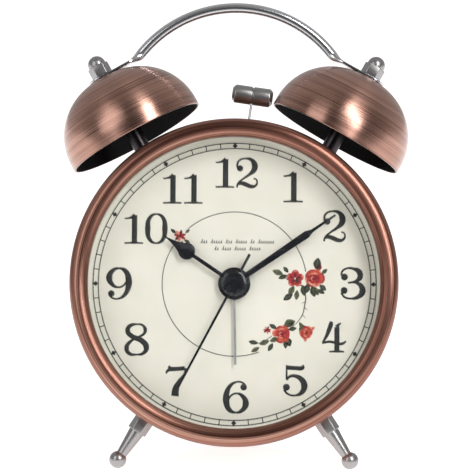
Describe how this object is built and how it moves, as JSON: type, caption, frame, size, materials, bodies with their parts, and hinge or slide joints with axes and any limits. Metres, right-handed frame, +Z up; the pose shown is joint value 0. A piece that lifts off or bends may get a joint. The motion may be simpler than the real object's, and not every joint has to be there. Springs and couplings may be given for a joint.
{
  "type": "twin bell alarm clock",
  "caption": "Battery twin-bell alarm clock: round drum case on two ball feet, hammer between two bells, arched handle, four hands.",
  "frame": {"origin": "middle of the underside of the whole clock, on the surface it stands on", "axes": "+Z up, -Y the way the dial faces (the dial leans back 13.6 degrees), +X to the right as the dial is read"},
  "size_m": [0.1252, 0.0815, 0.1634],
  "materials": {
    "copper_plate": "brushed antique copper plate with clear lacquer",
    "chrome": "bright chrome plate",
    "nickel_steel": "turned steel, nickel plated",
    "glass": "clear flat glass",
    "dial_print": "printed cream card on a steel disc",
    "reflector": "cream moulded ring",
    "black_enamel": "semi-gloss black enamel",
    "grey_enamel": "silver-grey enamel",
    "black_plastic": "fine textured moulded plastic",
    "battery_wrap": "printed shrink wrap",
    "spring_steel": "bright spring steel",
    "brass": "stamped brass",
    "acetal": "natural moulded acetal",
    "movement_plastic": "moulded plastic",
    "board": "glass-fibre board",
    "copper_wire": "enamelled copper wire"
  },
  "bodies": {
    "root": {"case_drum": "copper_plate", "front_bezel": "copper_plate", "lens": "glass", "dial_reflector": "reflector", "dial_plate": "dial_print", "dial_seat_ring": "reflector", "rear_cover": "black_plastic", "cover_lugs": "spring_steel", "cover_screws": "nickel_steel", "battery_box": "black_plastic", "battery": "battery_wrap", "battery_spring": "spring_steel", "battery_contact": "spring_steel", "left_bell": "copper_plate", "left_bell_post": "nickel_steel", "left_cap_nut": "nickel_steel", "left_foot": "nickel_steel", "right_bell": "copper_plate", "right_bell_post": "nickel_steel", "right_cap_nut": "nickel_steel", "right_foot": "nickel_steel", "lock_nuts": "nickel_steel", "handle": "chrome", "mechanism_bracket": "spring_steel", "hammer_pivot_pin": "spring_steel", "crank_stud": "spring_steel", "alarm_motor": "spring_steel", "bracket_screws": "nickel_steel", "movement_front_case": "movement_plastic", "movement_bridge": "acetal", "movement_rear_case": "movement_plastic", "dial_nut": "brass", "circuit_board": "board", "quartz_crystal": "spring_steel", "stator": "spring_steel", "coil": "copper_wire"},
    "minute": {"cannon_pinion": "acetal", "minute_hand": "black_enamel"},
    "hour": {"hour_wheel": "acetal", "hour_hand": "black_enamel"},
    "motion": {"motion_wheel": "acetal"},
    "time_setting": {"time_arbor": "spring_steel", "time_knob": "black_plastic"},
    "alarm_hand": {"alarm_wheel": "acetal", "alarm_hand": "grey_enamel"},
    "alarm_setting": {"alarm_arbor": "spring_steel", "alarm_knob": "black_plastic"},
    "second": {"second_wheel": "acetal", "second_hand": "black_enamel"},
    "third": {"third_wheel": "acetal"},
    "centre": {"centre_wheel": "acetal"},
    "fast": {"fast_wheel": "acetal"},
    "rotor": {"rotor": "acetal"},
    "hammer": {"hammer_head": "nickel_steel", "hammer_rod": "nickel_steel", "hammer_lever": "spring_steel"},
    "crank": {"crank_wheel": "brass"},
    "motor_pinion": {"motor_pinion": "brass"},
    "alarm_switch": {"alarm_switch": "black_plastic"},
    "battery_door": {"battery_door": "black_plastic"}
  },
  "joints": [
    {"name": "minute_turn", "type": "hinge", "parent": "root", "child": "minute", "pos_m": [0, -0.00815, 0.06389], "axis": [0, 0.9719, -0.2353], "continuous": true},
    {"name": "hour_turn", "type": "hinge", "parent": "root", "child": "hour", "pos_m": [0, -0.00815, 0.06389], "axis": [0, 0.9719, -0.2353], "continuous": true},
    {"name": "motion_turn", "type": "hinge", "parent": "root", "child": "motion", "pos_m": [0.0036, -0.00961, 0.05783], "axis": [0, 0.9719, -0.2353], "continuous": true},
    {"name": "time_knob_turn", "type": "hinge", "parent": "root", "child": "time_setting", "pos_m": [0.0108, -0.00961, 0.05783], "axis": [0, 0.9719, -0.2353], "continuous": true},
    {"name": "alarm_set_turn", "type": "hinge", "parent": "root", "child": "alarm_hand", "pos_m": [0, -0.00815, 0.06389], "axis": [0, 0.9719, -0.2353], "continuous": true},
    {"name": "alarm_knob_turn", "type": "hinge", "parent": "root", "child": "alarm_setting", "pos_m": [-0.0072, -0.00815, 0.06389], "axis": [0, 0.9719, -0.2353], "continuous": true},
    {"name": "second_turn", "type": "hinge", "parent": "root", "child": "second", "pos_m": [0, -0.00815, 0.06389], "axis": [0, 0.9719, -0.2353], "continuous": true},
    {"name": "third_turn", "type": "hinge", "parent": "root", "child": "third", "pos_m": [0, -0.00655, 0.0705], "axis": [0, 0.9719, -0.2353], "continuous": true},
    {"name": "centre_turn", "type": "hinge", "parent": "root", "child": "centre", "pos_m": [0, -0.00815, 0.06389], "axis": [0, 0.9719, -0.2353], "continuous": true},
    {"name": "fast_turn", "type": "hinge", "parent": "root", "child": "fast", "pos_m": [0.0067, -0.00787, 0.06503], "axis": [0, 0.9719, -0.2353], "continuous": true},
    {"name": "rotor_turn", "type": "hinge", "parent": "root", "child": "rotor", "pos_m": [0.01162, -0.00766, 0.06588], "axis": [0, 0.9719, -0.2353], "continuous": true},
    {"name": "hammer_swing", "type": "hinge", "parent": "root", "child": "hammer", "pos_m": [0, 0.0033, 0.08992], "axis": [0, 0.9719, -0.2353], "range_deg": [-16.4, 0]},
    {"name": "crank_turn", "type": "hinge", "parent": "root", "child": "crank", "pos_m": [0, 0.01099, 0.10041], "axis": [0, 0.9719, -0.2353], "continuous": true},
    {"name": "motor_turn", "type": "hinge", "parent": "root", "child": "motor_pinion", "pos_m": [0.009, 0.01099, 0.10041], "axis": [0, 0.9719, -0.2353], "continuous": true},
    {"name": "alarm_switch_slide", "type": "slide", "parent": "root", "child": "alarm_switch", "axis": [0, 0.2353, 0.9719], "range_m": [0, 0.006]},
    {"name": "battery_door_slide", "type": "slide", "parent": "root", "child": "battery_door", "axis": [0, -0.2353, -0.9719], "range_m": [0, 0.009]}
  ],
  "couplings": [
    {"joint": "hour_turn", "follows": "minute_turn", "ratio": 0.083333},
    {"joint": "motion_turn", "follows": "minute_turn", "ratio": -0.33333},
    {"joint": "time_knob_turn", "follows": "minute_turn", "ratio": 1},
    {"joint": "alarm_knob_turn", "follows": "alarm_set_turn", "ratio": -3},
    {"joint": "third_turn", "follows": "second_turn", "ratio": -0.13333},
    {"joint": "centre_turn", "follows": "second_turn", "ratio": 0.016667},
    {"joint": "fast_turn", "follows": "second_turn", "ratio": -7.5},
    {"joint": "rotor_turn", "follows": "second_turn", "ratio": 30},
    {"joint": "motor_turn", "follows": "crank_turn", "ratio": -4}
  ]
}
